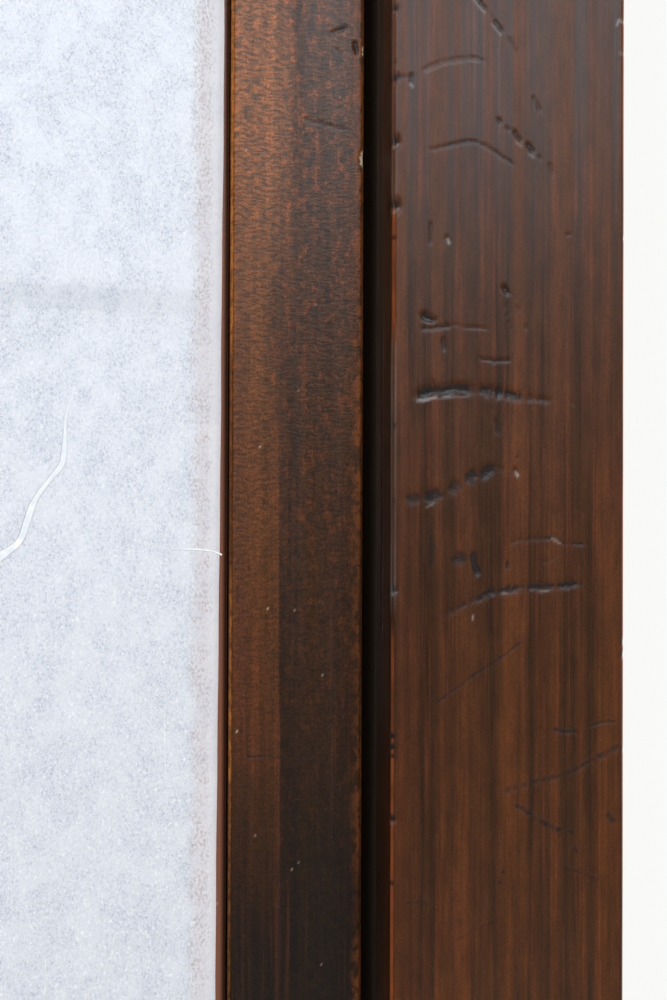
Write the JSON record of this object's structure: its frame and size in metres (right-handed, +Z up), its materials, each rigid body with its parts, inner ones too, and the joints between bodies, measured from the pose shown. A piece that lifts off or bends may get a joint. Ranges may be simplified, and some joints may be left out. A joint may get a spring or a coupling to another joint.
{
  "type": "shoji sliding screen",
  "caption": "Pair of papered wooden lattice screens that slide past each other in the grooves of a jamb, head and sill frame.",
  "frame": {"origin": "on the floor, under the middle of the frame: centre of the sill's underside", "axes": "+X along the opening, towards the front panel's jamb; -Y towards the papered side; +Z up"},
  "size_m": [1.82, 0.09, 1.847],
  "materials": {
    "jamb_wood": "old dark stained softwood, dented, dull satin",
    "panel_wood": "old red-brown stained wood with rippled grain, satin",
    "lattice_wood": "planed softwood, brown with age, matt",
    "washi": "white fibrous paper, matt, lets light through",
    "screw_steel": "dull steel"
  },
  "bodies": {
    "frame": {"left_jamb": "jamb_wood", "right_jamb": "jamb_wood", "head": "jamb_wood", "sill": "jamb_wood", "corner_screws": "screw_steel"},
    "front_panel": {"front_pull_stile": "panel_wood", "front_meeting_stile": "panel_wood", "front_top_rail": "panel_wood", "front_bottom_rail": "panel_wood", "front_cross_bar_1": "lattice_wood", "front_cross_bar_2": "lattice_wood", "front_cross_bar_3": "lattice_wood", "front_cross_bar_4": "lattice_wood", "front_cross_bar_5": "lattice_wood", "front_cross_bar_6": "lattice_wood", "front_cross_bar_7": "lattice_wood", "front_upright_1": "lattice_wood", "front_upright_2": "lattice_wood", "front_paper": "washi"},
    "rear_panel": {"rear_pull_stile": "panel_wood", "rear_meeting_stile": "panel_wood", "rear_top_rail": "panel_wood", "rear_bottom_rail": "panel_wood", "rear_cross_bar_1": "lattice_wood", "rear_cross_bar_2": "lattice_wood", "rear_cross_bar_3": "lattice_wood", "rear_cross_bar_4": "lattice_wood", "rear_cross_bar_5": "lattice_wood", "rear_cross_bar_6": "lattice_wood", "rear_cross_bar_7": "lattice_wood", "rear_upright_1": "lattice_wood", "rear_upright_2": "lattice_wood", "rear_paper": "washi"}
  },
  "joints": [
    {"name": "front_panel_slide", "type": "slide", "parent": "frame", "child": "front_panel", "axis": [-1, 0, 0], "range_m": [-0.0031, 0.8183]},
    {"name": "rear_panel_slide", "type": "slide", "parent": "frame", "child": "rear_panel", "axis": [1, 0, 0], "range_m": [-0.0031, 0.8183]}
  ]
}
